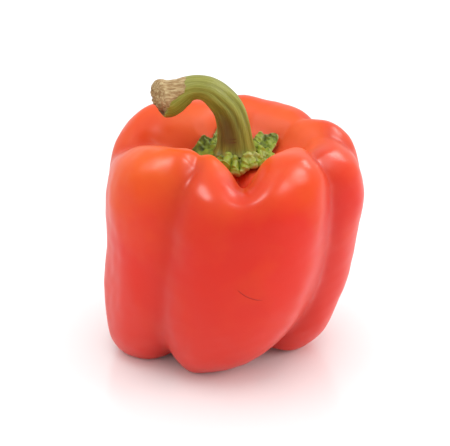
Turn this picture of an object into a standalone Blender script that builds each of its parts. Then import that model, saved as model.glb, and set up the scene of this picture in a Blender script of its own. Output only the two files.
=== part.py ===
import bmesh
import bpy
import numpy as np
from mathutils import Vector

# A whole bell pepper standing on its lobes with its stem up, at its real size.
# Metres, +Z up, front towards -Y. The origin lies on the surface it stands on,
# under the middle of its box. Azimuths are degrees from the front, positive
# towards +X. A share runs along the skin's meridian, 0 at the stem, 1 below.

MM = 0.001

# Driving dimensions
FRUIT_HEIGHT = 86 * MM     # feet to shoulders
FRUIT_REACH = 44 * MM      # axis to the widest ring, before lobes and grooves
FRUIT_LEAN = 13 * MM       # the shoulders sit this far towards +X of the feet
SQUARENESS = 2.5           # exponent of the rounded-square section; 2 is round
SQUARE_TURN = 45           # azimuth of the section's flat sides
REST_LEVEL = 1.7 * MM      # the feet are flat below this height of the formula
CALYX_GAP = 0.75 * MM      # calyx above the skin of the pit
CALYX_THICK = 2.3 * MM     # calyx at its middle
CALYX_REACH = 10.5 * MM    # calyx between its tips
CALYX_FADE = 0.55          # how early the calyx thins towards its edge
STEM_GAP = 0.35 * MM       # stem foot above the calyx
FRUIT_MESH = (64, 36)      # points round the fruit, rings from pit to pit
CALYX_MESH = (48, 12)
STEM_MESH = (30, 6)        # rings along the stem, bevel resolution round it

# The skin's meridian, stem pit to blossom pit: share of reach, share of height
MERIDIAN = [
    (0.0, 0.83), (0.15, 0.828), (0.29, 0.84), (0.36, 0.885), (0.46, 0.96), (0.60, 0.995),
    (0.77, 0.98), (0.935, 0.89), (1.0, 0.73), (0.985, 0.50), (0.945, 0.30), (0.82, 0.13),
    (0.64, 0.03), (0.48, 0.0), (0.30, 0.03), (0.13, 0.075), (0.0, 0.085),
]
# Where the values of a groove or lobe are given: pit, rim, shoulder, side, foot, blossom pit
STOPS = [0.0, 0.15, 0.30, 0.55, 0.80, 1.0]
DROP_ALONG = (0.0, 0.0, 0.0, 0.3, 1.0, 0.0)    # how a lobe's drop fades away from the foot
DIP_STOPS = [0.0, 0.15, 0.26, 0.47, 0.80, 1.0]  # a dip has stops of its own,
DIP_ALONG = (0.0, 0.8, 0.95, 0.0, 0.0, 0.0)     # and fades away from the shoulder like this

# Grooves: azimuth, half width (degrees) and depth (mm) at rim, shoulder, side and
# foot; blunt is the roundness of the bottom, in half widths; dip is how far the
# shoulder line drops (mm)
GROOVES = [
    dict(at=(-37, -28, -31, -33), wide=(10, 8, 13, 14), deep=(3.0, 5.5, 4.0, 7.0), blunt=0.35, dip=0.0),
    dict(at=(4, 3, 3, 4), wide=(9, 10, 18, 20), deep=(5.0, 2.4, 0.5, 0.3), blunt=0.7, dip=11.6),
    dict(at=(68, 52, 60, 47), wide=(15, 13, 15, 15), deep=(4.0, 6.0, 5.5, 8.0), blunt=0.35, dip=0.0),
    dict(at=(90, 90, 92, 92), wide=(12, 10, 12, 12), deep=(2.5, 4.6, 1.8, 0.0), blunt=0.4, dip=0.0),
    dict(at=(128, 123, 135, 135), wide=(15, 15, 15, 15), deep=(3.0, 6.0, 4.0, 6.0), blunt=0.35, dip=0.0),
    dict(at=(168, 168, 168, 168), wide=(12, 12, 12, 12), deep=(1.5, 2.0, 1.0, 0.0), blunt=0.5, dip=0.0),
    dict(at=(-166, -166, -160, -155), wide=(14, 14, 14, 14), deep=(3.0, 4.0, 4.0, 6.0), blunt=0.35, dip=0.0),
    dict(at=(-108, -92, -90, -90), wide=(14, 14, 14, 14), deep=(4.0, 4.0, 1.5, 4.0), blunt=0.35, dip=3.0),
]
# Lobes: azimuth, half width (degrees); lift at rim, shoulder and side, and drop of
# the foot (mm); reach outwards at shoulder, side and foot (mm)
LOBES = [
    dict(at=-70, wide=36, lift=(0.0, 0.0, 0.0), drop=1.0, reach=(2.3, -3.0, 5.2)),
    dict(at=-85, wide=28, lift=(-9.0, -4.2, -1.0), drop=0.0, reach=(0.0, 0.0, 0.0)),
    dict(at=-54, wide=16, lift=(-2.6, -1.8, 0.0), drop=0.0, reach=(2.0, 0.6, 0.0)),
    dict(at=-15, wide=12, lift=(-2.6, -3.6, -0.5), drop=1.6, reach=(1.4, 0.0, 0.0)),
    dict(at=34, wide=16, lift=(-1.6, -1.0, 0.0), drop=-1.0, reach=(2.2, 1.4, 1.5)),
    dict(at=66, wide=18, lift=(-1.6, -2.6, 0.0), drop=0.0, reach=(0.0, 0.0, 0.0)),
    dict(at=78, wide=12, lift=(-1.6, -2.2, 0.0), drop=0.0, reach=(1.2, 0.0, 0.0)),
    dict(at=66, wide=14, lift=(0.0, 0.0, 0.0), drop=0.0, reach=(0.0, 0.0, 2.6)),
    dict(at=85, wide=30, lift=(0.0, 0.0, 0.0), drop=0.2, reach=(-1.2, 2.6, 6.2)),
    dict(at=-176, wide=16, lift=(1.2, 2.0, 0.6), drop=1.0, reach=(0.0, 0.0, 0.0)),
    dict(at=147, wide=22, lift=(-0.8, -1.0, 0.0), drop=0.0, reach=(0.0, 0.0, 0.0)),
    dict(at=-122, wide=28, lift=(0.5, 0.8, 0.2), drop=0.7, reach=(5.6, -3.0, 0.0)),
]
# Tips of the calyx: azimuth, reach from its middle (mm), half width (degrees)
CALYX_TIPS = [
    (-96, 14.4, 22), (-128, 15.2, 16), (-160, 16.2, 15), (152, 14.8, 14), (130, 14.6, 13), (80, 12.8, 16),
    (6, 10.2, 26), (-45, 12.0, 16),
]
CALYX_DIP = 0.36           # share of the shoulder's dips that the calyx follows
# Middle line of the stem, from its foot over the arch and out past the cut:
# x, height above the foot, radius (mm)
STEM_LINE = [
    (3.0, 0.0, 7.0), (2.9, 2.4, 6.4), (2.4, 8.0, 5.7), (0.9, 13.7, 5.4), (-2.4, 18.0, 5.0), (-5.9, 20.7, 4.5),
    (-9.6, 21.6, 4.2), (-12.9, 21.0, 4.4), (-15.5, 19.6, 5.2), (-18.5, 18.1, 6.3), (-21.5, 17.4, 6.9),
    (-28.0, 16.8, 7.1),
]
STEM_CUT_AT = (-23.2, 0.0, 16.5)        # a point of the slanting cut (mm)
STEM_CUT_FACES = (-0.93, -0.32, -0.17)   # the way the cut face looks
STEM_FOOT = MERIDIAN[0][1] * FRUIT_HEIGHT + CALYX_GAP + CALYX_THICK + STEM_GAP


def through_points(points, share):
    # Catmull-Rom curve through the points, read at shares of their chord length
    inner = np.array(points, float)
    chords = np.linalg.norm(np.diff(inner, axis=0), axis=1)
    knots = np.concatenate([[0.0], np.cumsum(chords)]) / chords.sum()
    ends = np.vstack([2 * inner[0] - inner[1], inner, 2 * inner[-1] - inner[-2]])
    i = np.clip(np.searchsorted(knots, share, side="right") - 1, 0, len(chords) - 1)
    u = ((share - knots[i]) / (knots[i + 1] - knots[i]))[..., None]
    a, b, c, d = ends[i], ends[i + 1], ends[i + 2], ends[i + 3]
    return 0.5 * (2 * b + (c - a) * u + (2 * a - 5 * b + 4 * c - d) * u**2 + (3 * b - a - 3 * c + d) * u**3)


def along_meridian(share, values, stops=STOPS):
    # values given at the stops, blended smoothly between them
    v = np.array(values, float)
    x = np.array(stops)
    i = np.clip(np.searchsorted(x, share, side="right") - 1, 0, len(x) - 2)
    u = (share - x[i]) / (x[i + 1] - x[i])
    return v[i] + (v[i + 1] - v[i]) * u * u * (3 - 2 * u)


def degrees_away(azimuth, at):
    return (azimuth - at + 180) % 360 - 180


def skin(azimuth, share, dip_share=1.0):
    # The meridian turned round the axis, pressed in along its normal at each
    # groove, pushed out and up at each lobe, squared off and leant over.
    step = 1e-3
    here = through_points(MERIDIAN, share)
    ahead = through_points(MERIDIAN, np.clip(share + step, 0, 1))
    slope = ahead - through_points(MERIDIAN, np.clip(share - step, 0, 1))
    size = np.array([FRUIT_REACH, FRUIT_HEIGHT])
    r, z = (here * size)[..., 0], (here * size)[..., 1]
    dr, dz = (slope * size)[..., 0], (slope * size)[..., 1]
    length = np.hypot(dr, dz)
    for groove in GROOVES:
        at = along_meridian(share, (groove["at"][0], *groove["at"], groove["at"][3]))
        wide = groove["wide"]
        u = degrees_away(azimuth, at) / along_meridian(share, (wide[0], *wide, wide[3]))
        near = np.exp(groove["blunt"] - np.sqrt(u * u + groove["blunt"] ** 2))
        depth = near * along_meridian(share, (0.0, *groove["deep"], 0.0)) * MM
        r = r + depth * dz / length
        z = z - depth * dr / length
        z = z - near * along_meridian(share, DIP_ALONG, DIP_STOPS) * dip_share * groove["dip"] * MM
    for lobe in LOBES:
        near = np.exp(-(degrees_away(azimuth, lobe["at"]) / lobe["wide"]) ** 2)
        r = r + near * along_meridian(share, (0, 0, *lobe["reach"], 0)) * MM
        z = z + near * along_meridian(share, (0, *lobe["lift"], 0, 0)) * MM
        z = z - near * along_meridian(share, DROP_ALONG) * lobe["drop"] * MM
    turn = np.radians(azimuth - SQUARE_TURN)
    square = (np.abs(np.cos(turn)) ** SQUARENESS + np.abs(np.sin(turn)) ** SQUARENESS) ** (-1 / SQUARENESS)
    outside = np.clip(2 * r / FRUIT_REACH, 0, 1)
    r = r * (1 + (square - 1) * outside)
    a = np.radians(azimuth)
    x = r * np.sin(a) + FRUIT_LEAN * (z / FRUIT_HEIGHT - 0.5)
    y = -r * np.cos(a)
    return np.stack([x, y, z], -1)


def calyx_skin(azimuth, polar):
    # A thin lens laid on the skin of the pit: polar 0 is its top, 180 its underside
    reach = CALYX_REACH + 0 * azimuth
    for at, tip, wide in CALYX_TIPS:
        reach = reach + (tip * MM - CALYX_REACH) * np.exp(-(degrees_away(azimuth, at) / wide) ** 2)
    shares = np.linspace(0, STOPS[2], 400)
    radii = through_points(MERIDIAN, shares)[:, 0] * FRUIT_REACH
    out = np.sin(np.radians(polar))
    points = skin(azimuth, np.interp(out * reach, radii, shares), CALYX_DIP)
    top = (1 + np.cos(np.radians(polar))) / 2
    points[:, 2] += CALYX_GAP + CALYX_THICK * top * (1 - CALYX_FADE * out**2)
    return points


# Blender objects

def material(name, colour, roughness):
    made = bpy.data.materials.new(name)
    made.use_nodes = True
    shader = made.node_tree.nodes["Principled BSDF"]
    shader.inputs["Base Color"].default_value = (*colour, 1.0)
    shader.inputs["Roughness"].default_value = roughness
    shader.inputs["Metallic"].default_value = 0.0
    return made


def add_object(name, bm, collection, surface):
    mesh = bpy.data.meshes.new(name)
    bm.to_mesh(mesh)
    bm.free()
    mesh.shade_smooth()
    mesh.set_sharp_from_angle(angle=np.radians(50))
    mesh.materials.append(surface)
    made = bpy.data.objects.new(name, mesh)
    collection.objects.link(made)
    return made


def shaped_sphere(segments, rings, shape):
    # A UV sphere whose points are moved to shape(azimuth, polar angle), both in degrees
    bm = bmesh.new()
    bmesh.ops.create_uvsphere(bm, u_segments=segments, v_segments=rings, radius=1.0)
    unit = np.array([v.co for v in bm.verts])
    azimuth = np.degrees(np.arctan2(unit[:, 0], -unit[:, 1]))
    polar = np.degrees(np.arccos(np.clip(unit[:, 2], -1, 1)))
    for vert, place in zip(bm.verts, shape(azimuth, polar)):
        vert.co = Vector(place)
    return bm


def fruit_mesh():
    # flat feet: whatever would reach below the rest level is pressed up to it
    def shape(azimuth, polar):
        points = skin(azimuth, polar / 180)
        points[:, 2] = np.maximum(points[:, 2], REST_LEVEL)
        return points
    return shaped_sphere(*FRUIT_MESH, shape)


def calyx_mesh():
    return shaped_sphere(*CALYX_MESH, calyx_skin)


def stem_mesh(collection):
    # A bevelled curve along the middle line, cut off on the slant and closed
    rings, resolution = STEM_MESH
    line = through_points(STEM_LINE, np.linspace(0, 1, rings)) * MM
    foot = Vector((0, 0, STEM_FOOT))
    curve = bpy.data.curves.new("stem_line", "CURVE")
    curve.dimensions = "3D"
    curve.bevel_depth = 1.0
    curve.bevel_resolution = resolution
    curve.use_fill_caps = True
    spline = curve.splines.new("POLY")
    spline.points.add(len(line) - 1)
    for point, (x, z, radius) in zip(spline.points, line):
        point.co = (x, 0.0, STEM_FOOT + z, 1.0)
        point.radius = radius
    guide = bpy.data.objects.new("stem_line", curve)
    collection.objects.link(guide)
    evaluated = guide.evaluated_get(bpy.context.evaluated_depsgraph_get())
    bm = bmesh.new()
    bm.from_mesh(evaluated.to_mesh())
    evaluated.to_mesh_clear()
    bpy.data.objects.remove(guide)
    bmesh.ops.remove_doubles(bm, verts=bm.verts, dist=0.01 * MM)
    everything = bm.verts[:] + bm.edges[:] + bm.faces[:]
    bmesh.ops.bisect_plane(bm, geom=everything, plane_co=foot + Vector(STEM_CUT_AT) * MM,
                           plane_no=Vector(STEM_CUT_FACES), clear_outer=True)
    rim = [edge for edge in bm.edges if edge.is_boundary]
    bmesh.ops.edgeloop_fill(bm, edges=rim)
    bmesh.ops.recalc_face_normals(bm, faces=bm.faces)
    return bm


def main():
    for old in list(bpy.data.objects):
        bpy.data.objects.remove(old)
    pepper = bpy.data.collections.new("bell_pepper")
    bpy.context.scene.collection.children.link(pepper)
    pieces = [
        add_object("fruit", fruit_mesh(), pepper, material("glossy red skin", (0.78, 0.07, 0.03), 0.28)),
        add_object("calyx", calyx_mesh(), pepper, material("green calyx", (0.16, 0.28, 0.05), 0.6)),
        add_object("stem", stem_mesh(pepper), pepper, material("olive green stem", (0.20, 0.26, 0.07), 0.55)),
    ]
    # the whole pepper moves so that the origin is under the middle of its box
    places = np.array([v.co for piece in pieces for v in piece.data.vertices])
    low, high = places.min(axis=0), places.max(axis=0)
    origin = Vector(((low[0] + high[0]) / 2, (low[1] + high[1]) / 2, low[2]))
    for piece in pieces:
        for vert in piece.data.vertices:
            vert.co -= origin


main()
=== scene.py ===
import bpy
import numpy as np
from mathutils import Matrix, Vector


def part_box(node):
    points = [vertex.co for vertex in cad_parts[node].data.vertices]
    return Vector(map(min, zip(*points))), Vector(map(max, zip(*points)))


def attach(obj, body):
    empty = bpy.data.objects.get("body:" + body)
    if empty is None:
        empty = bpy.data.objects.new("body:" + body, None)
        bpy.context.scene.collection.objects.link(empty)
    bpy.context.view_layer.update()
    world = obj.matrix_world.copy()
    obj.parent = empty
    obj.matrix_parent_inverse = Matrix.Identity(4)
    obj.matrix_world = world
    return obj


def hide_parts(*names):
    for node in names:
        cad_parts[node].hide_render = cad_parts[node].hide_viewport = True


# A whole ripe bell pepper: the fruit, the calyx in its stem pit, and the arched stalk.
# Metres, +Z up, the front towards -Y. Azimuths are degrees from the front, positive
# towards +X. A share runs down the skin, 0 in the stem pit and 1 in the blossom pit.

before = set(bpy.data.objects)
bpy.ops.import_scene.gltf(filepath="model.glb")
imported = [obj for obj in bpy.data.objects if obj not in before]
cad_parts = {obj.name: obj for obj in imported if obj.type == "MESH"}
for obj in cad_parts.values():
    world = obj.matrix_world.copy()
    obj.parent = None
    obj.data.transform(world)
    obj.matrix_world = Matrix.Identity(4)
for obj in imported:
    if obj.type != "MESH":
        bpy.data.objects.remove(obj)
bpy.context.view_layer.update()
print("frame loaded:", sorted(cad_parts))
mm = 0.001


def curveThrough(points, share):
    # Catmull-Rom curve through the points, read at shares of their chord length
    inner = np.array(points, float)
    chords = np.linalg.norm(np.diff(inner, axis=0), axis=1)
    knots = np.concatenate([[0.0], np.cumsum(chords)]) / chords.sum()
    ends = np.vstack([2 * inner[0] - inner[1], inner, 2 * inner[-1] - inner[-2]])
    i = np.clip(np.searchsorted(knots, share, side="right") - 1, 0, len(chords) - 1)
    u = ((share - knots[i]) / (knots[i + 1] - knots[i]))[..., None]
    a, b, c, d = ends[i], ends[i + 1], ends[i + 2], ends[i + 3]
    return 0.5 * (2 * b + (c - a) * u + (2 * a - 5 * b + 4 * c - d) * u**2 + (3 * b - a - 3 * c + d) * u**3)


def blended(stops, values, share):
    # values given at the stops, with an S-shaped blend from each to the next
    v = np.array(values, float)
    x = np.array(stops)
    i = np.clip(np.searchsorted(x, share, side="right") - 1, 0, len(x) - 2)
    u = (share - x[i]) / (x[i + 1] - x[i])
    return v[i] + (v[i + 1] - v[i]) * u * u * (3 - 2 * u)


def between(low, high, value):
    # 0 at low, 1 at high, S-shaped in between
    u = np.clip((value - low) / (high - low), 0, 1)
    return u * u * (3 - 2 * u)


def degreesAway(azimuth, at):
    # the signed turn from one azimuth to another, the short way round
    return (azimuth - at + 180) % 360 - 180


def unevenness(points, length, seed, count=24):
    # plane waves of about one length in random directions, added up: a smooth field of spread 1
    draw = np.random.default_rng(seed)
    ways = draw.normal(size=(count, 3))
    ways /= np.linalg.norm(ways, axis=1, keepdims=True)
    ways *= 2 * np.pi / (length * draw.uniform(0.7, 1.5, size=(count, 1)))
    phases = draw.uniform(0, 2 * np.pi, size=count)
    total = np.zeros(points.shape[:-1])
    for way, phase in zip(ways, phases):
        total += np.cos(points @ way + phase)
    return total * np.sqrt(2 / count)


def outward(points):
    # unit normals of a grid that goes round on its first axis and down on its second
    across = np.roll(points, -1, axis=0) - np.roll(points, 1, axis=0)
    down = np.gradient(points, axis=1)
    normal = np.cross(down, across)
    return normal / np.maximum(np.linalg.norm(normal, axis=-1, keepdims=True), 1e-12)


def gridPiece(name, points, marks, material, node):
    # A closed skin from a grid of points: quads between neighbours, a fan at each end
    # round that end row's middle. marks are values kept on the points for the material.
    around, down = points.shape[:2]
    ends = np.stack([points[:, 0].mean(axis=0), points[:, -1].mean(axis=0)])
    places = np.vstack([points.reshape(-1, 3), ends])
    index = np.arange(around * down).reshape(around, down)
    beside = np.roll(index, -1, axis=0)
    quads = np.stack([index[:, :-1], index[:, 1:], beside[:, 1:], beside[:, :-1]], -1).reshape(-1, 4)
    first = np.stack([np.full(around, around * down), index[:, 0], beside[:, 0]], -1)
    last = np.stack([np.full(around, around * down + 1), beside[:, -1], index[:, -1]], -1)
    mesh = bpy.data.meshes.new(name)
    mesh.from_pydata(places.tolist(), [], quads.tolist() + first.tolist() + last.tolist())
    mesh.shade_smooth()
    for mark, values in marks.items():
        vector = values.ndim == 3
        endValues = np.stack([values[:, 0].mean(axis=0), values[:, -1].mean(axis=0)])
        flat = np.concatenate([values.reshape(-1, 3) if vector else values.reshape(-1), endValues])
        layer = mesh.attributes.new(mark, "FLOAT_VECTOR" if vector else "FLOAT", "POINT")
        layer.data.foreach_set("vector" if vector else "value", flat.ravel().astype(np.float32))
    mesh.materials.append(material)
    piece = bpy.data.objects.new(name, mesh)
    bpy.context.scene.collection.objects.link(piece)
    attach(piece, "root")
    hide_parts(node)
    print(name, "made:", len(quads) * 2 + 2 * around, "triangles")


def linear(hexColour):
    # sRGB hex to linear, opaque
    parts = np.array([int(hexColour[i:i + 2], 16) for i in (1, 3, 5)]) / 255
    light = np.where(parts <= 0.04045, parts / 12.92, ((parts + 0.055) / 1.055) ** 2.4)
    return (*light.tolist(), 1.0)


def addNode(tree, kind, inputs=(), **settings):
    # a shader node with its settings; an input is given a value, or a socket to link from
    node = tree.nodes.new("ShaderNode" + kind)
    for setting, value in settings.items():
        setattr(node, setting, value)
    for socket, value in dict(inputs).items():
        if isinstance(value, bpy.types.NodeSocket):
            tree.links.new(value, node.inputs[socket])
        else:
            node.inputs[socket].default_value = value
    return node


def newMaterial(name):
    # an empty node material and its tree
    material = bpy.data.materials.new(name)
    material.use_nodes = True
    material.node_tree.nodes.clear()
    return material, material.node_tree


def perMetre(size):
    # noise scale for features of a real size
    return 1 / size


skin = dict(
    # the deep red paints shade in the grooves and on the front, and also colours the healed scratch
    red="#de2913", orange="#ea5c0c", reflectedPink="#da3a2c", deep="#a81408", pale="#e0523a", scarBrown="#8a6a3a",
    # below the low height the rose colour paints a reflection of the white floor onto the skin
    # the pit orange paints a sheen inside the stem pit
    pitSheenOrange="#f2602c", pitSheenTint=0.35, reflectionHeight=48 * mm,
    roughness=0.33, pitRoughness=0.22, speckSize=1.1 * mm, cloudSize=14 * mm, grainSize=0.7 * mm,
    # one healed scratch, an arc seen from the front: x and z of its centre, its ends in radians
    scratchCentre=(11.3 * mm, 48.0 * mm), scratchRadius=12.6 * mm, scratchWidth=0.28 * mm,
    scratchStart=(-2.5, -2.35), scratchStop=(-1.68, -1.85),
)


def skinMaterial():
    # Ripe pepper skin, grown: red flesh seen through a clear waxy cuticle. It gives a
    # saturated red that glows a little, pebbled cells and wide soft highlights.
    material, tree = newMaterial("ripe waxy pepper skin")
    place = addNode(tree, "TexCoord").outputs["Object"]
    shoulder = addNode(tree, "Attribute", attribute_name="shoulder").outputs["Fac"]
    groove = addNode(tree, "Attribute", attribute_name="groove").outputs["Fac"]
    scar = addNode(tree, "Attribute", attribute_name="scar").outputs["Fac"]
    pit = addNode(tree, "Attribute", attribute_name="pit").outputs["Fac"]

    clouds = addNode(tree, "TexNoise", {"Vector": place, "Scale": perMetre(skin["cloudSize"]), "Detail": 3.0})
    cloudy = addNode(tree, "MapRange", {0: clouds.outputs["Fac"], 1: 0.35, 2: 0.7, 3: -0.12, 4: 0.16})
    # the shoulder mark holds the skin's orange on the shoulders and front left, and a painted orange sheen
    # inside the rim
    orangeAndSheen = addNode(tree, "Math", {0: shoulder, 1: cloudy.outputs[0]}, operation="ADD", use_clamp=True)
    ground = addNode(tree, "Mix", {0: orangeAndSheen.outputs[0], 6: linear(skin["red"]),
                                   7: linear(skin["orange"])}, data_type="RGBA")
    parts = addNode(tree, "SeparateXYZ", {0: place})
    # painted reflection of the white floor: the skin turns pinker towards the bottom
    low = addNode(tree, "MapRange", {0: parts.outputs["Z"], 1: skin["reflectionHeight"], 2: 0.0, 3: 0.0, 4: 1.0})
    reflectionTinted = addNode(tree, "Mix", {0: low.outputs[0], 6: ground.outputs[2], 7: linear(skin["reflectedPink"])},
                   data_type="RGBA")
    # painted shade: deep red where the groove mark is, in the grooves and low on the front
    shaded = addNode(tree, "Mix", {0: groove, 6: reflectionTinted.outputs[2], 7: linear(skin["deep"])}, data_type="RGBA")

    # faint pale specks under the cuticle
    specks = addNode(tree, "TexVoronoi", {"Vector": place, "Scale": perMetre(skin["speckSize"])})
    speck = addNode(tree, "MapRange", {0: specks.outputs["Distance"], 1: 0.22, 2: 0.05, 3: 0.0, 4: 0.10})
    # painted sheen: a paler orange laid over the inside of the stem pit
    pitSheen = addNode(tree, "Math", {0: pit, 1: skin["pitSheenTint"]}, operation="MULTIPLY")
    pitSheened = addNode(tree, "Mix", {0: pitSheen.outputs[0], 6: shaded.outputs[2], 7: linear(skin["pitSheenOrange"])},
                     data_type="RGBA")
    specked = addNode(tree, "Mix", {0: speck.outputs[0], 6: pitSheened.outputs[2], 7: linear(skin["pale"])},
                      data_type="RGBA")
    scarred = addNode(tree, "Mix", {0: scar, 6: specked.outputs[2], 7: linear(skin["scarBrown"])},
                      data_type="RGBA")

    # the scratch: near its circle, between its ends and on the front only
    centreX, centreZ = skin["scratchCentre"]
    fromX = addNode(tree, "Math", {0: parts.outputs["X"], 1: centreX}, operation="SUBTRACT")
    fromZ = addNode(tree, "Math", {0: parts.outputs["Z"], 1: centreZ}, operation="SUBTRACT")
    offset = addNode(tree, "CombineXYZ", {0: fromX.outputs[0], 1: fromZ.outputs[0]})
    radius = addNode(tree, "VectorMath", {0: offset.outputs[0]}, operation="LENGTH")
    offArc = addNode(tree, "Math", {0: radius.outputs["Value"], 1: skin["scratchRadius"]},
                     operation="SUBTRACT")
    gap = addNode(tree, "Math", {0: offArc.outputs[0]}, operation="ABSOLUTE")
    line = addNode(tree, "MapRange", {0: gap.outputs[0], 1: skin["scratchWidth"], 2: 0.0, 3: 0.0, 4: 1.0})
    angle = addNode(tree, "Math", {0: fromZ.outputs[0], 1: fromX.outputs[0]}, operation="ARCTAN2")
    startFrom, startFull = skin["scratchStart"]
    stopFrom, stopFull = skin["scratchStop"]
    start = addNode(tree, "MapRange", {0: angle.outputs[0], 1: startFrom, 2: startFull, 3: 0.0, 4: 1.0})
    stop = addNode(tree, "MapRange", {0: angle.outputs[0], 1: stopFrom, 2: stopFull, 3: 0.0, 4: 1.0})
    front = addNode(tree, "Math", {0: parts.outputs["Y"], 1: 0.0}, operation="LESS_THAN")
    window = addNode(tree, "Math", {0: start.outputs[0], 1: stop.outputs[0]}, operation="MULTIPLY")
    facing = addNode(tree, "Math", {0: window.outputs[0], 1: front.outputs[0]}, operation="MULTIPLY")
    scratch = addNode(tree, "Math", {0: line.outputs[0], 1: facing.outputs[0]}, operation="MULTIPLY")
    marked = addNode(tree, "Mix", {0: scratch.outputs[0], 6: scarred.outputs[2], 7: linear(skin["deep"])},
                     data_type="RGBA")

    grain = addNode(tree, "TexNoise", {"Vector": place, "Scale": perMetre(skin["grainSize"]), "Detail": 1.0})
    pebbled = addNode(tree, "Bump", {"Height": grain.outputs["Fac"], "Strength": 0.05, "Distance": 0.1 * mm})
    cut = addNode(tree, "Bump", {"Height": scratch.outputs[0], "Normal": pebbled.outputs[0], "Strength": 0.6,
                                 "Distance": 0.25 * mm}, invert=True)
    wax = addNode(tree, "MapRange", {0: clouds.outputs["Fac"], 1: 0.3, 2: 0.7,
                                     3: skin["roughness"] - 0.03, 4: skin["roughness"] + 0.05})
    dulled = addNode(tree, "Math", {0: pit, 1: skin["pitRoughness"], 2: wax.outputs[0]},
                     operation="MULTIPLY_ADD")
    shader = addNode(tree, "BsdfPrincipled", {
        "Base Color": marked.outputs[2], "Roughness": dulled.outputs[0], "Normal": cut.outputs[0],
        "IOR": 1.45, "Specular IOR Level": 0.3, "Subsurface Weight": 0.15, "Subsurface Scale": 2.5 * mm,
    })
    shader.inputs["Subsurface Radius"].default_value = (1.0, 0.2, 0.1)
    addNode(tree, "OutputMaterial", {0: shader.outputs[0]})
    return material


calyxLook = dict(green="#70821a", light="#90a02e", dark="#3e480c", rim="#aaa25a", lumpSize=1.4 * mm,
                 grainSize=0.5 * mm, roughness=0.42)


def calyxMaterial():
    # Fresh calyx, grown: fleshy green tissue with blistered lumps. It gives green lumps with painted light on
    # their tops and painted shade in the seams between them, and a thin pale edge where the flesh dries.
    material, tree = newMaterial("fleshy green calyx")
    place = addNode(tree, "TexCoord").outputs["Object"]
    lumpShading = addNode(tree, "Attribute", attribute_name="lumpShading").outputs["Fac"]
    edge = addNode(tree, "Attribute", attribute_name="edge").outputs["Fac"]
    blotch = addNode(tree, "TexNoise", {"Vector": place, "Scale": perMetre(calyxLook["lumpSize"]),
                                        "Detail": 3.0})
    # painted light and shade: lighter on the lump tops, darker in the seams between them
    mixed = addNode(tree, "Math", {0: blotch.outputs["Fac"], 1: 0.6, 2: lumpShading}, operation="MULTIPLY_ADD")
    tone = addNode(tree, "ValToRGB", {0: mixed.outputs[0]})
    ramp = tone.color_ramp
    ramp.elements[0].position, ramp.elements[0].color = 0.25, linear(calyxLook["dark"])
    ramp.elements[1].position, ramp.elements[1].color = 1.0, linear(calyxLook["light"])
    middle = ramp.elements.new(0.6)
    middle.color = linear(calyxLook["green"])
    edged = addNode(tree, "Mix", {0: edge, 6: tone.outputs[0], 7: linear(calyxLook["rim"])}, data_type="RGBA")
    grain = addNode(tree, "TexNoise", {"Vector": place, "Scale": perMetre(calyxLook["grainSize"]),
                                       "Detail": 2.0})
    rough = addNode(tree, "Bump", {"Height": grain.outputs["Fac"], "Strength": 0.3, "Distance": 0.2 * mm})
    shader = addNode(tree, "BsdfPrincipled", {
        "Base Color": edged.outputs[2], "Roughness": calyxLook["roughness"], "Normal": rough.outputs[0],
        "IOR": 1.4, "Specular IOR Level": 0.35, "Subsurface Weight": 0.1, "Subsurface Scale": 1.0 * mm,
    })
    shader.inputs["Subsurface Radius"].default_value = (0.6, 0.8, 0.2)
    addNode(tree, "OutputMaterial", {0: shader.outputs[0]})
    return material


# the brown is partly the stalk's own tinge and partly painted shadow down its front
stemLook = dict(green="#868630", light="#a8a652", dark="#68661c", brownAndShadow="#5c4219",
                cream="#ccb688", tan="#a48458", bark="#6a4a2a", roughness=0.45,
                streakWidth=0.45 * mm, streakLength=6 * mm, fibreWidth=0.8 * mm, fibreLength=4 * mm)


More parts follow.
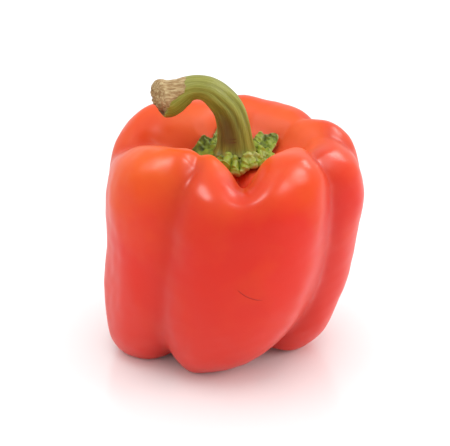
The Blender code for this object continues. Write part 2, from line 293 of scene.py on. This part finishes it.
def stemMaterial():
    # Pepper stalk, grown and then cut: ribbed green bark drying to olive, with a corky
    # tan scar. It gives fine lines along the stalk and a matt, fibrous end.
    material, tree = newMaterial("ribbed green stalk with a corky cut")
    grain = addNode(tree, "Attribute", attribute_name="grain").outputs["Vector"]
    place = addNode(tree, "TexCoord").outputs["Object"]
    rib = addNode(tree, "Attribute", attribute_name="rib").outputs["Fac"]
    shade = addNode(tree, "Attribute", attribute_name="shade").outputs["Fac"]
    scar = addNode(tree, "Attribute", attribute_name="scar").outputs["Fac"]

    stretch = stemLook["streakWidth"] / stemLook["streakLength"]
    drawn = addNode(tree, "Mapping", {"Vector": grain, "Scale": (1, 1, stretch)})
    streaks = addNode(tree, "TexNoise", {"Vector": drawn.outputs[0], "Detail": 3.0, "Roughness": 0.6,
                                         "Scale": perMetre(stemLook["streakWidth"])})
    # painted shade: the rib mark darkens the grooves between the ribs
    ribbed = addNode(tree, "Math", {0: streaks.outputs["Fac"], 1: 0.75, 2: rib}, operation="MULTIPLY_ADD")
    tone = addNode(tree, "ValToRGB", {0: ribbed.outputs[0]})
    ramp = tone.color_ramp
    ramp.elements[0].position, ramp.elements[0].color = 0.35, linear(stemLook["dark"])
    ramp.elements[1].position, ramp.elements[1].color = 0.92, linear(stemLook["light"])
    middle = ramp.elements.new(0.62)
    middle.color = linear(stemLook["green"])
    # the shade mark: a brown tinge with painted shadow down the front, and the dark nicks
    shadowBrowned = addNode(tree, "Mix", {0: shade, 6: tone.outputs[0], 7: linear(stemLook["brownAndShadow"])},
                      data_type="RGBA")

    # the scar: pale drawn-out fibres, browner where it is torn
    torn = addNode(tree, "Attribute", attribute_name="torn").outputs["Fac"]
    slender = stemLook["fibreWidth"] / stemLook["fibreLength"]
    pulled = addNode(tree, "Mapping", {"Vector": place, "Scale": (slender, 1, 1)})
    fibres = addNode(tree, "TexNoise", {"Vector": pulled.outputs[0], "Detail": 5.0, "Roughness": 0.65,
                                        "Distortion": 0.4, "Scale": perMetre(stemLook["fibreWidth"])})
    worn = addNode(tree, "Math", {0: torn, 1: -0.45, 2: fibres.outputs["Fac"]}, operation="MULTIPLY_ADD")
    cork = addNode(tree, "ValToRGB", {0: worn.outputs[0]})
    ramp = cork.color_ramp
    ramp.elements[0].position, ramp.elements[0].color = 0.16, linear(stemLook["bark"])
    ramp.elements[1].position, ramp.elements[1].color = 0.55, linear(stemLook["cream"])
    middle = ramp.elements.new(0.38)
    middle.color = linear(stemLook["tan"])
    colour = addNode(tree, "Mix", {0: scar, 6: shadowBrowned.outputs[2], 7: cork.outputs[0]}, data_type="RGBA")

    lines = addNode(tree, "Bump", {"Height": streaks.outputs["Fac"], "Strength": 0.6, "Distance": 0.35 * mm})
    corky = addNode(tree, "Math", {0: fibres.outputs["Fac"], 1: scar}, operation="MULTIPLY")
    rough = addNode(tree, "Bump", {"Height": corky.outputs[0], "Normal": lines.outputs[0], "Strength": 0.8,
                                   "Distance": 0.5 * mm})
    dull = addNode(tree, "MapRange", {0: scar, 1: 0.0, 2: 1.0, 3: stemLook["roughness"], 4: 0.85})
    shader = addNode(tree, "BsdfPrincipled", {
        "Base Color": colour.outputs[2], "Roughness": dull.outputs[0], "Normal": rough.outputs[0],
        "IOR": 1.4, "Specular IOR Level": 0.35,
    })
    addNode(tree, "OutputMaterial", {0: shader.outputs[0]})
    return material


pepper = dict(
    height=86 * mm, reach=44 * mm, lean=13 * mm, squareness=2.5, squareTurn=45, rest=1.7 * mm,
    grid=(360, 256), ends=(0.004, 0.996),
    # stem pit to blossom pit: share of reach, share of height
    meridian=[(0.0, 0.83), (0.15, 0.828), (0.29, 0.84), (0.36, 0.885), (0.46, 0.96), (0.60, 0.995),
              (0.77, 0.98), (0.935, 0.89), (1.0, 0.73), (0.985, 0.50), (0.945, 0.30), (0.82, 0.13),
              (0.64, 0.03), (0.48, 0.0), (0.30, 0.03), (0.13, 0.075), (0.0, 0.085)],
    # shares of the pit, rim, shoulder, side, foot and blossom pit
    stops=[0.0, 0.15, 0.30, 0.55, 0.80, 1.0], dropAlong=(0, 0, 0, 0.3, 1, 0),
    dipStops=[0.0, 0.15, 0.26, 0.47, 0.80, 1.0], dipAlong=(0, 0.8, 0.95, 0, 0, 0),
    # azimuth, half width and depth (mm) at rim, shoulder, side and foot; bluntness; dip of the shoulder
    grooves=[
        dict(at=(-37, -28, -31, -33), wide=(10, 8, 13, 14), deep=(3.0, 5.5, 4.0, 7.0), blunt=0.35, dip=0.0),
        dict(at=(4, 3, 3, 4), wide=(9, 10, 18, 20), deep=(5.0, 2.4, 0.5, 0.3), blunt=0.7, dip=11.6),
        dict(at=(68, 52, 60, 47), wide=(15, 13, 15, 15), deep=(4.0, 6.0, 5.5, 8.0), blunt=0.35, dip=0.0),
        dict(at=(90, 90, 92, 92), wide=(12, 10, 12, 12), deep=(2.5, 4.6, 1.8, 0.0), blunt=0.4, dip=0.0),
        dict(at=(128, 123, 135, 135), wide=(15, 15, 15, 15), deep=(3.0, 6.0, 4.0, 6.0), blunt=0.35, dip=0.0),
        dict(at=(168, 168, 168, 168), wide=(12, 12, 12, 12), deep=(1.5, 2.0, 1.0, 0.0), blunt=0.5, dip=0.0),
        dict(at=(-166, -166, -160, -155), wide=(14, 14, 14, 14), deep=(3.0, 4.0, 4.0, 6.0), blunt=0.35,
             dip=0.0),
        dict(at=(-108, -92, -90, -90), wide=(14, 14, 14, 14), deep=(4.0, 4.0, 1.5, 4.0), blunt=0.35, dip=3.0),
    ],
    # azimuth, half width; lift at rim, shoulder and side; drop of the foot;
    # reach at shoulder, side and foot (mm)
    lobes=[
        dict(at=-70, wide=36, lift=(0.0, 0.0, 0.0), drop=1.0, reach=(2.3, -3.0, 5.2)),
        dict(at=-85, wide=28, lift=(-9.0, -4.2, -1.0), drop=0.0, reach=(0.0, 0.0, 0.0)),
        dict(at=-54, wide=16, lift=(-2.6, -1.8, 0.0), drop=0.0, reach=(2.0, 0.6, 0.0)),
        dict(at=-15, wide=12, lift=(-2.6, -3.6, -0.5), drop=1.6, reach=(1.4, 0.0, 0.0)),
        dict(at=34, wide=16, lift=(-1.6, -1.0, 0.0), drop=-1.0, reach=(2.2, 1.4, 1.5)),
        dict(at=66, wide=18, lift=(-1.6, -2.6, 0.0), drop=0.0, reach=(0.0, 0.0, 0.0)),
        dict(at=78, wide=12, lift=(-1.6, -2.2, 0.0), drop=0.0, reach=(1.2, 0.0, 0.0)),
        dict(at=66, wide=14, lift=(0.0, 0.0, 0.0), drop=0.0, reach=(0.0, 0.0, 2.6)),
        dict(at=85, wide=30, lift=(0.0, 0.0, 0.0), drop=0.2, reach=(-1.2, 2.6, 6.2)),
        dict(at=-176, wide=16, lift=(1.2, 2.0, 0.6), drop=1.0, reach=(0.0, 0.0, 0.0)),
        dict(at=147, wide=22, lift=(-0.8, -1.0, 0.0), drop=0.0, reach=(0.0, 0.0, 0.0)),
        dict(at=-122, wide=28, lift=(0.5, 0.8, 0.2), drop=0.7, reach=(5.6, -3.0, 0.0)),
    ],
    waveLength=17 * mm, waveHeight=0.16 * mm, rippleLength=6 * mm, rippleHeight=0.03 * mm,
    wavesFrom=(0.06, 0.12),
    # puckers round the calyx, from one share to another, deepest at one azimuth
    puckers=31, puckerHeight=0.05 * mm, puckersFrom=(0.03, 0.09), puckersTo=(0.21, 0.13),
    puckersAt=-125, puckersWide=32, puckersElsewhere=0.12, wander=0.8, wanderLength=9 * mm,
    scarRadius=2.6 * mm, scarCore=0.6, scarFrom=0.9,
)

# where the skin's colours and its painted light and shade lie: azimuths and widths in degrees, heights as
# shares of the pepper's height, From and To as shares down the skin
ripeningAndPaintedLight = dict(
    shoulderHeight=(0.66, 0.97), shoulderTint=0.75, mostTint=1.3,
    leftAt=-62, leftWide=34, leftHeight=(0.45, 0.8), leftTint=0.5,
    # painted sheen: orange inside the rim
    innerSheenFrom=(0.10, 0.16), innerSheenTo=(0.27, 0.2), innerSheenTint=0.4, pitTo=(0.24, 0.17),
    # painted shade: deep red on the front below the shoulders
    frontShadeAt=12, frontShadeWide=38, frontShadeHeight=(0.95, 0.7), frontShadeTint=0.15,
    # painted shade: deep red in the grooves, full at this depth
    grooveShadeDepth=9 * mm, grooveShadePower=1.5, grooveShadeFrom=(0.1, 0.3),
)


def skinPoints(azimuth, share, dipShare=1.0):
    # The meridian turned round the axis, pressed in along its normal at each groove,
    # pushed out and up at each lobe, squared off and leant over. Also gives the depth pressed.
    step = 1e-3  # half the stretch of share that a slope is taken over
    size = np.array([pepper["reach"], pepper["height"]])
    here = curveThrough(pepper["meridian"], share) * size
    ahead = curveThrough(pepper["meridian"], np.clip(share + step, 0, 1))
    slope = (ahead - curveThrough(pepper["meridian"], np.clip(share - step, 0, 1))) * size
    slope /= np.linalg.norm(slope, axis=-1, keepdims=True)
    r, z = here[..., 0], here[..., 1]
    pressed = np.zeros(np.broadcast(azimuth, share).shape)
    for groove in pepper["grooves"]:
        at = blended(pepper["stops"], (groove["at"][0], *groove["at"], groove["at"][3]), share)
        wide = np.broadcast_to(groove["wide"], 4)
        u = degreesAway(azimuth, at) / blended(pepper["stops"], (wide[0], *wide, wide[3]), share)
        near = np.exp(groove["blunt"] - np.sqrt(u * u + groove["blunt"] ** 2))
        depth = near * blended(pepper["stops"], (0.0, *groove["deep"], 0.0), share) * mm
        pressed += depth
        r = r + depth * slope[..., 1]
        z = z - depth * slope[..., 0]
        dip = dipShare * groove["dip"] * mm
        z = z - near * blended(pepper["dipStops"], pepper["dipAlong"], share) * dip
    for lobe in pepper["lobes"]:
        near = np.exp(-(degreesAway(azimuth, lobe["at"]) / lobe["wide"]) ** 2)
        r = r + near * blended(pepper["stops"], (0, 0, *lobe["reach"], 0), share) * mm
        z = z + near * blended(pepper["stops"], (0, *lobe["lift"], 0, 0), share) * mm
        z = z - near * blended(pepper["stops"], pepper["dropAlong"], share) * lobe["drop"] * mm
    n = pepper["squareness"]
    turn = np.radians(azimuth - pepper["squareTurn"])
    square = (np.abs(np.cos(turn)) ** n + np.abs(np.sin(turn)) ** n) ** (-1 / n)
    r = r * (1 + (square - 1) * np.clip(2 * r / pepper["reach"], 0, 1))
    a = np.radians(azimuth)
    x = r * np.sin(a) + pepper["lean"] * (z / pepper["height"] - 0.5)
    return np.stack([x, -r * np.cos(a), z], -1), pressed


def roundAndDown(around, down, lowest, highest):
    # azimuths all the way round, and values from lowest to highest, as two grids
    azimuth = np.arange(around) * 360 / around - 180
    return np.meshgrid(azimuth, np.linspace(lowest, highest, down), indexing="ij")


def fruitPiece():
    # The skin, moved along its normals by waves, ripples and puckers and made level at the
    # feet, then moved whole to the middle and the floor of the CAD fruit's box.
    azimuth, share = roundAndDown(*pepper["grid"], *pepper["ends"])
    points, pressed = skinPoints(azimuth, share)
    off = pepper["waveHeight"] * unevenness(points, pepper["waveLength"], 3)
    off += pepper["rippleHeight"] * unevenness(points, pepper["rippleLength"], 4)
    nearCalyx = between(*pepper["puckersFrom"], share) * between(*pepper["puckersTo"], share)
    wander = pepper["wander"] * unevenness(points, pepper["wanderLength"], 5)
    onLeft = np.exp(-(degreesAway(azimuth, pepper["puckersAt"]) / pepper["puckersWide"]) ** 2)
    strong = pepper["puckersElsewhere"] + (1 - pepper["puckersElsewhere"]) * onLeft
    puckered = np.cos(np.radians(azimuth) * pepper["puckers"] + wander)
    off += nearCalyx * strong * pepper["puckerHeight"] * puckered
    points = points + outward(points) * (off * between(*pepper["wavesFrom"], share))[..., None]
    points[..., 2] = np.maximum(points[..., 2], pepper["rest"])

    cadLow, cadHigh = (np.array(corner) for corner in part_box("fruit"))
    low, high = points.min(axis=(0, 1)), points.max(axis=(0, 1))
    move = (cadLow + cadHigh - low - high) / 2
    move[2] = cadLow[2] - low[2]

    # orange on the shoulders and at the front left, and a painted orange sheen inside the rim; painted shade
    # of deep red in the grooves and on the front
    height = points[..., 2] / pepper["height"]
    left = np.exp(-(degreesAway(azimuth, ripeningAndPaintedLight["leftAt"]) / ripeningAndPaintedLight["leftWide"]) ** 2)
    left *= between(*ripeningAndPaintedLight["leftHeight"], height)
    # inside the rim the orange is a painted sheen
    inside = between(*ripeningAndPaintedLight["innerSheenTo"], share) * between(*ripeningAndPaintedLight["innerSheenFrom"], share)
    orange = ripeningAndPaintedLight["shoulderTint"] * between(*ripeningAndPaintedLight["shoulderHeight"], height)
    orange += ripeningAndPaintedLight["leftTint"] * left + ripeningAndPaintedLight["innerSheenTint"] * inside
    # painted shade: darker red on the front below the shoulders
    ripe = np.exp(-(degreesAway(azimuth, ripeningAndPaintedLight["frontShadeAt"]) / ripeningAndPaintedLight["frontShadeWide"]) ** 2)
    ripe *= between(*ripeningAndPaintedLight["frontShadeHeight"], height)
    # painted shade: deeper red the deeper a groove is pressed in
    hollow = np.clip(pressed / ripeningAndPaintedLight["grooveShadeDepth"], 0, 1) ** ripeningAndPaintedLight["grooveShadePower"]
    groove = hollow * between(*ripeningAndPaintedLight["grooveShadeFrom"], share) + ripeningAndPaintedLight["frontShadeTint"] * ripe
    # a small scar in the middle of the blossom pit
    blossomX = pepper["lean"] * (pepper["meridian"][-1][1] - 0.5)
    fromBlossom = np.hypot(points[..., 0] - blossomX, points[..., 1])
    scar = between(pepper["scarRadius"], pepper["scarCore"] * pepper["scarRadius"], fromBlossom)
    marks = dict(shoulder=np.clip(orange / ripeningAndPaintedLight["mostTint"], 0, 1), groove=groove,
                 scar=scar * (share > pepper["scarFrom"]), pit=between(*ripeningAndPaintedLight["pitTo"], share))
    gridPiece("fruit_skin", points + move, marks, skinMaterial(), "fruit")
    return move


calyx = dict(
    gap=0.35 * mm, thick=2.9 * mm, reach=11.5 * mm, fade=0.45, dipShare=0.36,
    grid=(480, 170), ends=(0.6, 179.4), topSide=(96, 84),
    # azimuth, reach (mm), half width in degrees, curl upwards (mm)
    tips=[(-96, 14.4, 22, 0.0), (-128, 15.2, 16, 0.3), (-160, 16.4, 15, 0.3), (152, 14.8, 14, 1.4),
          (130, 14.6, 13, 2.0), (80, 12.8, 16, 0.6), (6, 9.3, 26, 0.0), (-45, 12.0, 16, 0.0)],
    ragged=0.3 * mm, raggedTurn=0.35,
    lumps=130, lumpsWithin=15 * mm, lumpRadius=(1.0 * mm, 2.2 * mm), lumpHeight=0.75 * mm,
    wrinkleLength=1.6 * mm, wrinkleHeight=0.16 * mm, blotchLength=2.0 * mm,
    # the big knobs at the front: azimuth, distance from the middle, radius; no lumps among them
    knobs=[(-26, 9.6 * mm, 1.6 * mm), (-7, 9.8 * mm, 1.8 * mm), (11, 9.9 * mm, 1.9 * mm),
           (29, 9.9 * mm, 1.8 * mm), (46, 10.2 * mm, 1.6 * mm)],
    knobHeight=2.1 * mm, knobsAt=10, knobSpread=38, knobsFrom=8.0 * mm,
    # the collar of beads round the foot of the stalk, higher at the front
    collarAt=7.7 * mm, collarWide=1.3 * mm, collarHeight=2.3 * mm, collarLevel=0.85,
    collarBeads=11, beadHeight=0.12, beadWander=1.2,
    collarFront=0.5, collarFrontAt=6, collarFrontWide=32,
    # dry pale tissue along the edge, and in one patch beside the stalk
    edgeWide=7, edgeTint=0.85, dryAt=40, dryWide=24, dryOut=7.8 * mm, dryAcross=0.9 * mm, dryTint=0.6,
)


def calyxPiece(move):
    # A thin lens laid on the skin of the pit, polar 0 on top and 180 below, with lumps
    # raised on its top: each is a small dome, and the tallest dome at a point counts.
    azimuth, polar = roundAndDown(*calyx["grid"], *calyx["ends"])
    reach = calyx["reach"] + 0 * azimuth
    curl = 0 * azimuth
    for at, tip, wide, lift in calyx["tips"]:
        near = np.exp(-(degreesAway(azimuth, at) / wide) ** 2)
        reach += (tip * mm - calyx["reach"]) * near
        curl += lift * mm * near
    circle = np.stack([np.cos(np.radians(azimuth)), np.sin(np.radians(azimuth)), 0 * azimuth], -1)
    reach += calyx["ragged"] * unevenness(circle, calyx["raggedTurn"], 11)
    shares = np.linspace(0, pepper["stops"][2], 400)
    radii = curveThrough(pepper["meridian"], shares)[:, 0] * pepper["reach"]
    out = np.sin(np.radians(polar))
    points = skinPoints(azimuth, np.interp(out * reach, radii, shares), calyx["dipShare"])[0]
    top = (1 + np.cos(np.radians(polar))) / 2
    points[..., 2] += calyx["gap"] + calyx["thick"] * top * (1 - calyx["fade"] * out**2) + curl * out**3

    draw = np.random.default_rng(21)
    lumpAngle = draw.uniform(-180, 180, calyx["lumps"])
    lumpOut = np.sqrt(draw.uniform(0.2, 1.0, calyx["lumps"])) * calyx["lumpsWithin"]
    lumpSize = draw.uniform(*calyx["lumpRadius"], calyx["lumps"])
    lumpHigh = calyx["lumpHeight"] * lumpSize / calyx["lumpRadius"][1]
    clear = (np.abs(lumpAngle - calyx["knobsAt"]) > calyx["knobSpread"]) | (lumpOut < calyx["knobsFrom"])
    domes = np.stack([lumpAngle, lumpOut, lumpSize, lumpHigh], -1)[clear].tolist()
    domes += [(*knob, calyx["knobHeight"]) for knob in calyx["knobs"]]
    middle = points[:, 0].mean(axis=0)
    hills = np.zeros(azimuth.shape)
    for angle, distance, size, high in domes:
        dx = points[..., 0] - middle[0] - distance * np.sin(np.radians(angle))
        dy = points[..., 1] - middle[1] + distance * np.cos(np.radians(angle))
        hills = np.maximum(hills, high * np.clip(1 - (dx * dx + dy * dy) / size**2, 0, 1))
    upper = between(*calyx["topSide"], polar)

    fromStalk = np.hypot(points[..., 0] - middle[0], points[..., 1] - middle[1])
    wander = calyx["beadWander"] * np.sin(np.radians(azimuth * 2))
    beads = np.cos(np.radians(azimuth) * calyx["collarBeads"] + wander)
    front = np.exp(-(degreesAway(azimuth, calyx["collarFrontAt"]) / calyx["collarFrontWide"]) ** 2)
    level = calyx["collarLevel"] + calyx["beadHeight"] * beads + calyx["collarFront"] * front
    collar = np.exp(-((fromStalk - calyx["collarAt"]) / calyx["collarWide"]) ** 2) * level
    points[..., 2] += calyx["collarHeight"] * collar * upper
    rise = hills + calyx["wrinkleHeight"] * unevenness(points, calyx["wrinkleLength"], 22)
    points = points + outward(points) * (rise * upper)[..., None]

    # painted light and shade: pale on the lump tops and dark in the seams between them, with some blotches
    hills = np.clip(hills / calyx["lumpHeight"], 0, 1)
    lumpShading = np.clip(0.2 + 0.8 * hills + 0.1 * unevenness(points, calyx["blotchLength"], 23), 0, 1)
    edge = np.exp(-((polar - 90) / calyx["edgeWide"]) ** 2) * calyx["edgeTint"]
    dry = np.exp(-(degreesAway(azimuth, calyx["dryAt"]) / calyx["dryWide"]) ** 2)
    dry *= np.exp(-((fromStalk - calyx["dryOut"]) / calyx["dryAcross"]) ** 2) * upper
    marks = dict(lumpShading=lumpShading * upper, edge=np.maximum(edge, calyx["dryTint"] * dry))
    gridPiece("calyx_flesh", points + move, marks, calyxMaterial(), "calyx")


stem = dict(
    grid=(240, 300), faceRows=60, sunk=0.9 * mm, footDrop=0.3 * mm,
    # middle line from the foot, over the arch and out past the cut: x, height above the foot, radius (mm)
    line=[(3.0, 0.0, 6.7), (2.9, 3.2, 6.3), (2.4, 9.0, 5.7), (0.9, 14.8, 5.4), (-2.4, 19.1, 5.0),
          (-5.9, 21.8, 4.5), (-9.6, 22.7, 4.2), (-12.9, 22.1, 4.4), (-15.5, 20.7, 5.2), (-18.5, 19.2, 6.3),
          (-21.5, 18.5, 6.9), (-28.0, 17.9, 7.2)],
    # grooves along the stalk: angle in degrees, half width, depth (mm)
    grooves=[(12, 12, 0.5), (62, 10, 0.35), (108, 11, 0.45), (146, 9, 0.5), (184, 20, 0.7), (226, 9, 0.5),
             (268, 12, 0.5), (318, 11, 0.5)],
    twist=30, twistTo=0.5, shallower=0.65, shallowerFrom=(0.3, 0.55),
    # the foot flares into a skirt with soft teeth
    skirt=1.0 * mm, skirtLength=0.028, teeth=9, toothTurn=40, toothLow=0.7, toothHigh=0.6,
    # the cut: a point of its plane (mm) and the way it looks; the face is domed, ridged and hollowed
    cutAt=(-22.6, 0.0, 17.6), cutFaces=(-0.93, -0.32, -0.17), dome=1.6 * mm, ragged=0.14 * mm, raggedTurn=0.5,
    rollLength=0.055, rollIn=0.2, ridgeHeight=0.22 * mm, ridgeStretch=(1.0, 1.6, 0.7),
    ridgeLength=2.2 * mm, fineRidge=0.6, fineRidgeLength=1.0 * mm,
    hollowWay=(0.15, 0.0, -1.0), hollowAt=4.6 * mm, hollowWide=2.4 * mm, hollowDeep=1.6 * mm,
    # the corky scar lies beyond a slanting plane, with a wavering edge, and is torn low down
    scarAt=(-18.0, 0.0, 19.3), scarFaces=(-0.59, 0.0, 0.81), scarEnd=-13.9 * mm,
    scarWaver=0.3 * mm, scarWaverLength=3 * mm, scarEdge=(-0.2 * mm, 0.3 * mm), tornBelow=(19 * mm, 12 * mm),
    # a brown flush down the front, partly the stalk's own brown and partly painted shadow, and two
    # short dark nicks across it low down: angles in degrees, the rest as shares of the line
    brownAt=200, brownTurn=48, brownWide=42, brownFrom=(0.03, 0.12), brownTo=(0.42, 0.2), brownTint=0.85,
    nicks=(0.105, 0.128), nickThick=0.006, nickAt=188, nickSlant=900, nickWide=15, nickTint=1.5,
)


def stemPiece(move):
    # A ring carried along the middle line: 90 degrees is the outside of the arch, 180 the
    # front. Each line along the wall ends where it meets the cut, and the face closes it.
    around, along = stem["grid"]
    angle = np.arange(around) * 360 / around
    foot = (pepper["meridian"][0][1] * pepper["height"] + calyx["gap"] + calyx["thick"]) - stem["sunk"]
    dense = np.linspace(0, 1, 400)
    line = curveThrough(stem["line"], dense) * mm

    def wall(share, shrink=0.0):
        # share: (around, rows) of the whole line; gives the points and how deep in a groove they are
        x, z, r = (np.interp(share, dense, line[:, i]) for i in range(3))
        nx = np.interp(share, dense, np.gradient(line[:, 0]))
        nz = np.interp(share, dense, np.gradient(line[:, 1]))
        size = np.hypot(nx, nz)
        outer = np.stack([nz / size, 0 * x, -nx / size], -1)
        a = angle[:, None] + 0 * share
        rib = 0 * share
        turned = stem["twist"] * between(0.0, stem["twistTo"], share)
        for at, wide, deep in stem["grooves"]:
            u = degreesAway(a, at + turned) / wide
            rib = rib - deep * np.exp(-u * u)
        rib = rib * (1 - stem["shallower"] * between(*stem["shallowerFrom"], share))
        flare = stem["skirt"] * np.exp(-np.maximum(share, 0) / stem["skirtLength"])
        tooth = 0.5 + 0.5 * np.cos(np.radians(a * stem["teeth"] + stem["toothTurn"]))
        r = r + rib * mm + flare * (stem["toothLow"] + stem["toothHigh"] * tooth)
        c, s = np.cos(np.radians(a)), np.sin(np.radians(a))
        ring = c[..., None] * np.array([0, 1.0, 0]) + s[..., None] * outer
        centre = np.stack([x, 0 * x, z + foot], -1)
        return centre + ring * (r * (1 - shrink))[..., None], rib

    # where each line along the wall meets the cut plane
    raised = np.array([0, 0, foot])
    faces = np.array(stem["cutFaces"]) / np.linalg.norm(stem["cutFaces"])
    cutAt = np.array(stem["cutAt"]) * mm + raised
    probe = np.linspace(0.5, 1, 300)[None, :] + 0 * angle[:, None]
    circle = np.stack([np.cos(np.radians(angle)), np.sin(np.radians(angle)), 0 * angle], -1)
    ragged = stem["ragged"] * unevenness(circle, stem["raggedTurn"], 31)
    height = (wall(probe)[0] - cutAt) @ faces - ragged[:, None]
    crossing = np.argmax(height > 0, axis=1)
    low = np.take_along_axis(height, crossing[:, None] - 1, 1)[:, 0]
    high = np.take_along_axis(height, crossing[:, None], 1)[:, 0]
    end = probe[0, crossing] - (probe[0, 1] - probe[0, 0]) * high / (high - low)

    # the last of the wall rolls in, so that it meets the face without an edge
    share = np.linspace(0, 1, along)[None, :] * end[:, None]
    near = np.clip(1 - (end[:, None] - share) / stem["rollLength"], 0, 1)
    points, rib = wall(share, stem["rollIn"] * (1 - np.sqrt(1 - near**2)))

    # the cut face: from the lip to its middle, domed, with ridges of torn fibre
    lip = points[:, -1]
    middle = lip.mean(axis=0)
    inwards = np.linspace(0, 1, stem["faceRows"] + 1)[None, 1:-1, None]
    face = lip[:, None] + (middle - lip[:, None]) * inwards
    ridges = unevenness(face * np.array(stem["ridgeStretch"]), stem["ridgeLength"], 33)
    ridges += stem["fineRidge"] * unevenness(face, stem["fineRidgeLength"], 34)
    inside = between(0.0, 0.25, inwards[..., 0])
    rise = stem["dome"] * (1 - (1 - inwards[..., 0]) ** 2) + stem["ridgeHeight"] * ridges * inside
    offHollow = (face - cutAt) @ np.array(stem["hollowWay"]) - stem["hollowAt"]
    hollow = np.exp(-((offHollow / stem["hollowWide"]) ** 2))
    face = face + faces * (rise - stem["hollowDeep"] * hollow * inside)[..., None]
    # one more ring under the foot, half as wide, closes it inside the calyx
    foothold = (points[:, :1] + points[:, :1].mean(axis=0)) / 2 - np.array([0, 0, stem["footDrop"]])
    everything = np.concatenate([foothold, points, face], axis=1)

    def wholeLength(onWall, onFace):
        # a value on the wall, carried on to the ring under the foot and joined by the face's
        return np.concatenate([onWall[:, :1], onWall, onFace], axis=1)

    # the grain lies round and along a straight barrel as long as the stalk
    length = np.concatenate([[0], np.cumsum(np.hypot(*np.diff(line[:, :2], axis=0).T))])
    run = np.interp(share, dense, length)
    barrel = 5.5 * mm
    grain = np.stack([barrel * np.cos(np.radians(angle))[:, None] + 0 * run,
                      barrel * np.sin(np.radians(angle))[:, None] + 0 * run, run], -1)
    grain = wholeLength(grain, np.repeat(grain[:, -1:], face.shape[1], axis=1))
    # painted shade: the rib mark falls in the grooves between the ribs, so they come out darker
    ribGrooveShade = np.clip(0.3 + rib * 0.45, 0, 1)
    ribGrooveShade = wholeLength(ribGrooveShade, np.repeat(ribGrooveShade[:, -1:], face.shape[1], axis=1))

    a = angle[:, None]
    # a brown flush down the front, part of it painted shadow; the nicks are dark marks of their own
    brownAndShadow = np.exp(-(degreesAway(a, stem["brownAt"] + stem["brownTurn"] * share) / stem["brownWide"]) ** 2)
    brownAndShadow = brownAndShadow * between(*stem["brownFrom"], share) * between(*stem["brownTo"], share) * stem["brownTint"]
    for at in stem["nicks"]:
        alongNick = degreesAway(a, stem["nickAt"] + stem["nickSlant"] * (at - share)) / stem["nickWide"]
        nick = np.exp(-((share - at) / stem["nickThick"]) ** 2) * np.exp(-(alongNick**4))
        brownAndShadow = np.maximum(brownAndShadow, stem["nickTint"] * nick)
    brownAndShadow = wholeLength(brownAndShadow, 0 * face[..., 0])

    scarAt = np.array(stem["scarAt"]) * mm + raised
    beyond = (everything - scarAt) @ np.array(stem["scarFaces"])
    beyond = np.minimum(beyond, stem["scarEnd"] - everything[..., 0])
    beyond = beyond + stem["scarWaver"] * unevenness(everything, stem["scarWaverLength"], 35)
    onFace = wholeLength(0 * share, 1 + 0 * face[..., 0])
    scar = np.maximum(between(*stem["scarEdge"], beyond), onFace)
    torn = 0.2 + 0.8 * between(*stem["tornBelow"], everything[..., 2] - foot)
    marks = dict(grain=grain, rib=ribGrooveShade, shade=brownAndShadow, scar=scar, torn=torn)
    gridPiece("stem_stalk", everything + move, marks, stemMaterial(), "stem")


studio = dict(
    floorSize=6.0, floorColour="#f9f9f9", floorRoughness=0.2, floorIor=1.6, worldStrength=1.0,
    # three soft boxes that only gloss the skin, and a fill and a wide panel that only light it
    lamps=[dict(name="left box", place=(-0.37, -0.14, 0.6), size=0.26, power=3.8, gloss=True),
           dict(name="right box", place=(0.36, -0.14, 0.6), size=0.26, power=3.8, gloss=True),
           dict(name="back box", place=(0.45, 0.32, 0.55), size=0.2, power=1.8, gloss=True),
           dict(name="right fill", place=(0.7, 0.0, 0.2), size=0.4, power=1.7, gloss=False),
           dict(name="top panel", place=(0.0, 0.0, 1.1), size=1.0, power=4.4, gloss=False)],
    distance=0.5, elevation=22.0, seenWidth=0.1578, lookAt=(-2.6 * mm, 0.2 * mm, 45.4 * mm),
)


def floorAndLight():
    # one flat satin sheet, an even white surround, and round soft lamps aimed at the pepper
    mesh = bpy.data.meshes.new("floor")
    half = studio["floorSize"] / 2
    corners = [(-half, -half, 0), (half, -half, 0), (half, half, 0), (-half, half, 0)]
    mesh.from_pydata(corners, [], [(0, 1, 2, 3)])
    floor = bpy.data.objects.new("floor", mesh)
    bpy.context.scene.collection.objects.link(floor)
    material, tree = newMaterial("satin white acrylic sheet")
    shader = addNode(tree, "BsdfPrincipled", {
        "Base Color": linear(studio["floorColour"]), "IOR": studio["floorIor"],
        "Roughness": studio["floorRoughness"],
    })
    addNode(tree, "OutputMaterial", {0: shader.outputs[0]})
    mesh.materials.append(material)

    world = bpy.data.worlds.new("white tent")
    bpy.context.scene.world = world
    world.use_nodes = True
    background = world.node_tree.nodes["Background"]
    background.inputs["Color"].default_value = (1.0, 1.0, 1.0, 1.0)
    background.inputs["Strength"].default_value = studio["worldStrength"]

    for lamp in studio["lamps"]:
        light = bpy.data.lights.new(lamp["name"], "AREA")
        light.shape = "DISK"
        light.size = lamp["size"]
        light.energy = lamp["power"]
        box = bpy.data.objects.new(lamp["name"], light)
        bpy.context.scene.collection.objects.link(box)
        box.visible_diffuse = not lamp["gloss"]
        box.visible_glossy = lamp["gloss"]
        aim(box, lamp["place"], studio["lookAt"])


def aim(thing, place, target):
    # moves a light or camera to a place and turns its -Z towards the target
    way = Vector(target) - Vector(place)
    thing.location = place
    thing.rotation_euler = way.to_track_quat("-Z", "Y").to_euler()


def camera():
    # at a distance from the point looked at, raised by the elevation; the lens shows the seen width
    lens = bpy.data.cameras.new("camera")
    lens.sensor_width = 36.0
    lens.lens = studio["distance"] * lens.sensor_width / studio["seenWidth"]
    lens.clip_start = 0.01
    view = bpy.data.objects.new("camera", lens)
    bpy.context.scene.collection.objects.link(view)
    up = np.radians(studio["elevation"])
    target = np.array(studio["lookAt"])
    place = target + studio["distance"] * np.array([0, -np.cos(up), np.sin(up)])
    aim(view, place.tolist(), target.tolist())
    bpy.context.scene.camera = view


move = fruitPiece()
calyxPiece(move)
stemPiece(move)
floorAndLight()
camera()
bpy.context.scene.view_settings.view_transform = "Standard"
print("studio set")
